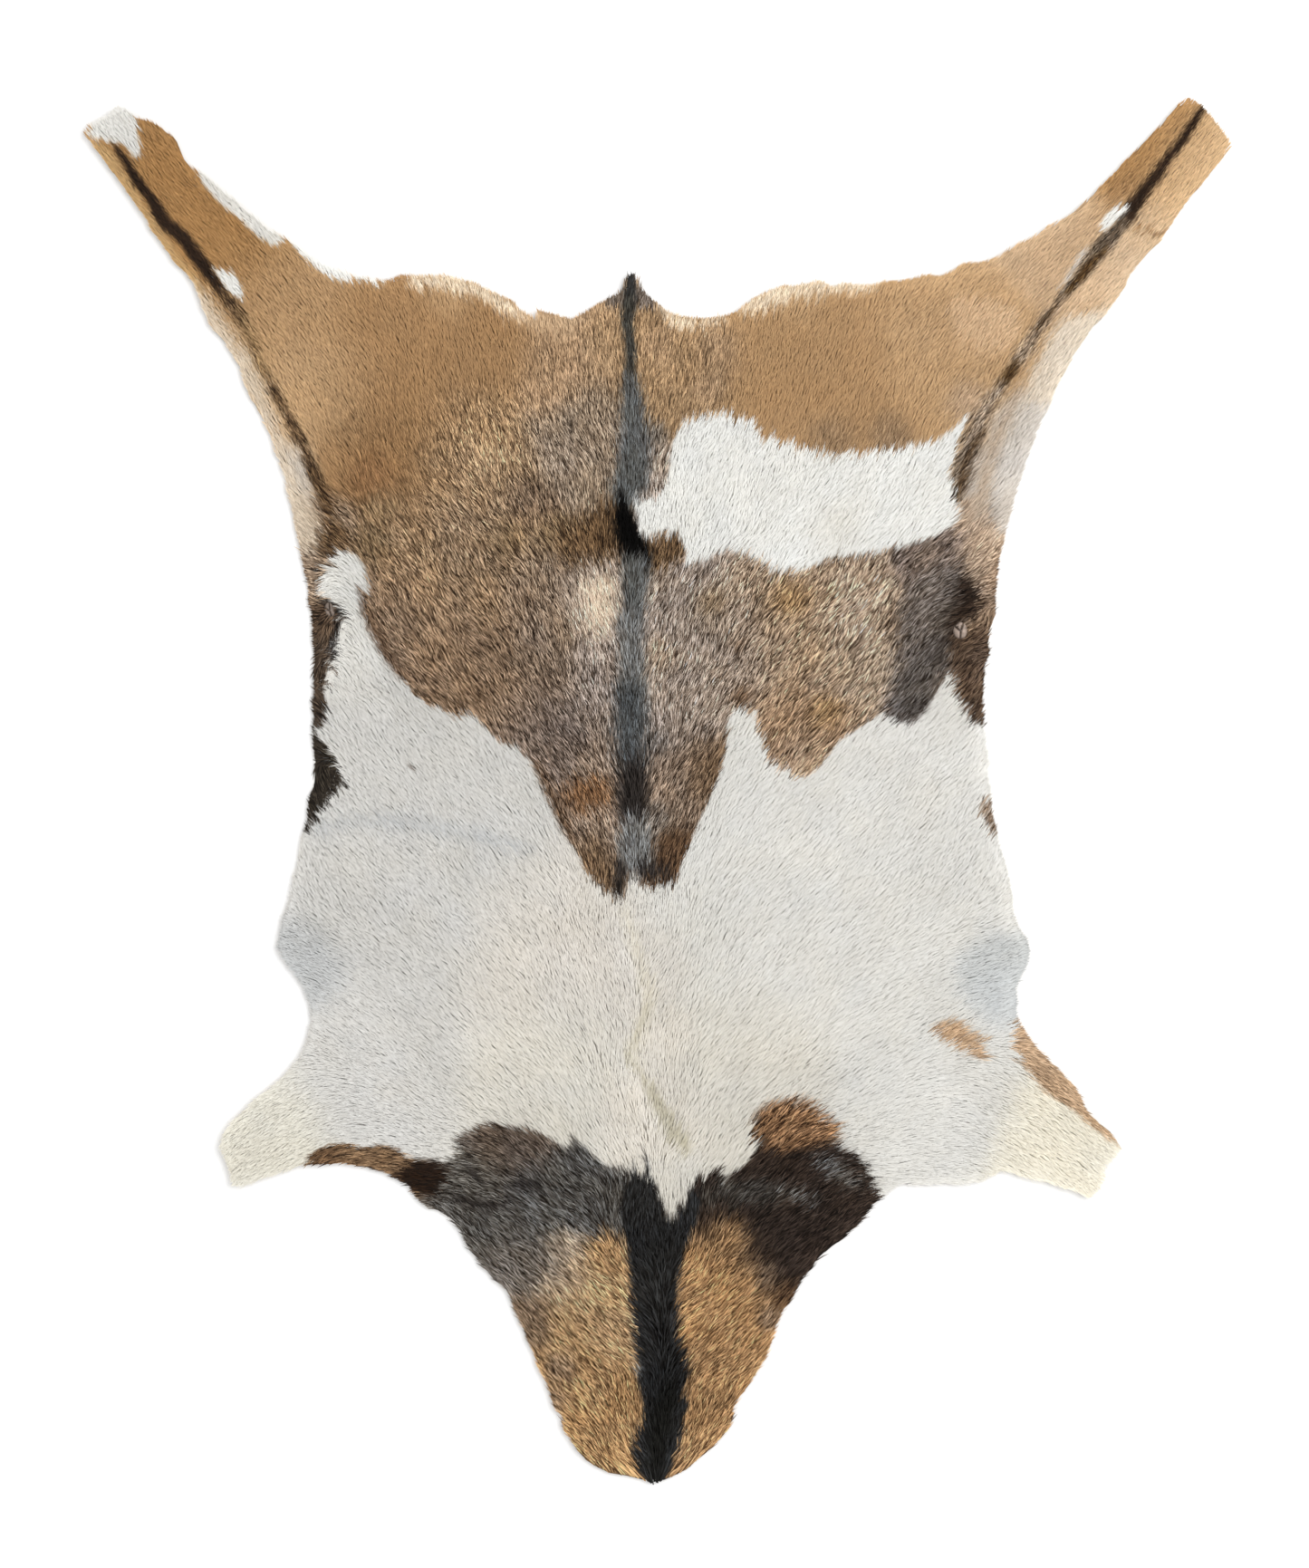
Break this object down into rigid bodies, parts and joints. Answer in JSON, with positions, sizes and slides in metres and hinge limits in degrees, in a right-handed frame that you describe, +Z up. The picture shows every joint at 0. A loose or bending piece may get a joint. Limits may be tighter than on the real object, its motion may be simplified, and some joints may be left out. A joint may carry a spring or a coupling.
{
  "type": "goatskin",
  "caption": "Whole goatskin with its short coat, laid flat hair side up, with its legs, neck and a tuft at the tail.",
  "frame": {"origin": "middle of the hide's bounding box, on the surface that it lies on", "axes": "+Y towards the tail and the hind legs, -Y towards the neck, +Z up out of the hair side"},
  "size_m": [0.825, 1, 0.012],
  "materials": {
    "coat": "short glossy goat hair in tan, grey-brown, black and white patches",
    "skin": "tanned flesh side, matt and pale",
    "teat": "bare dark skin"
  },
  "bodies": {
    "root": {"hide": "coat"}
  },
  "joints": []
}
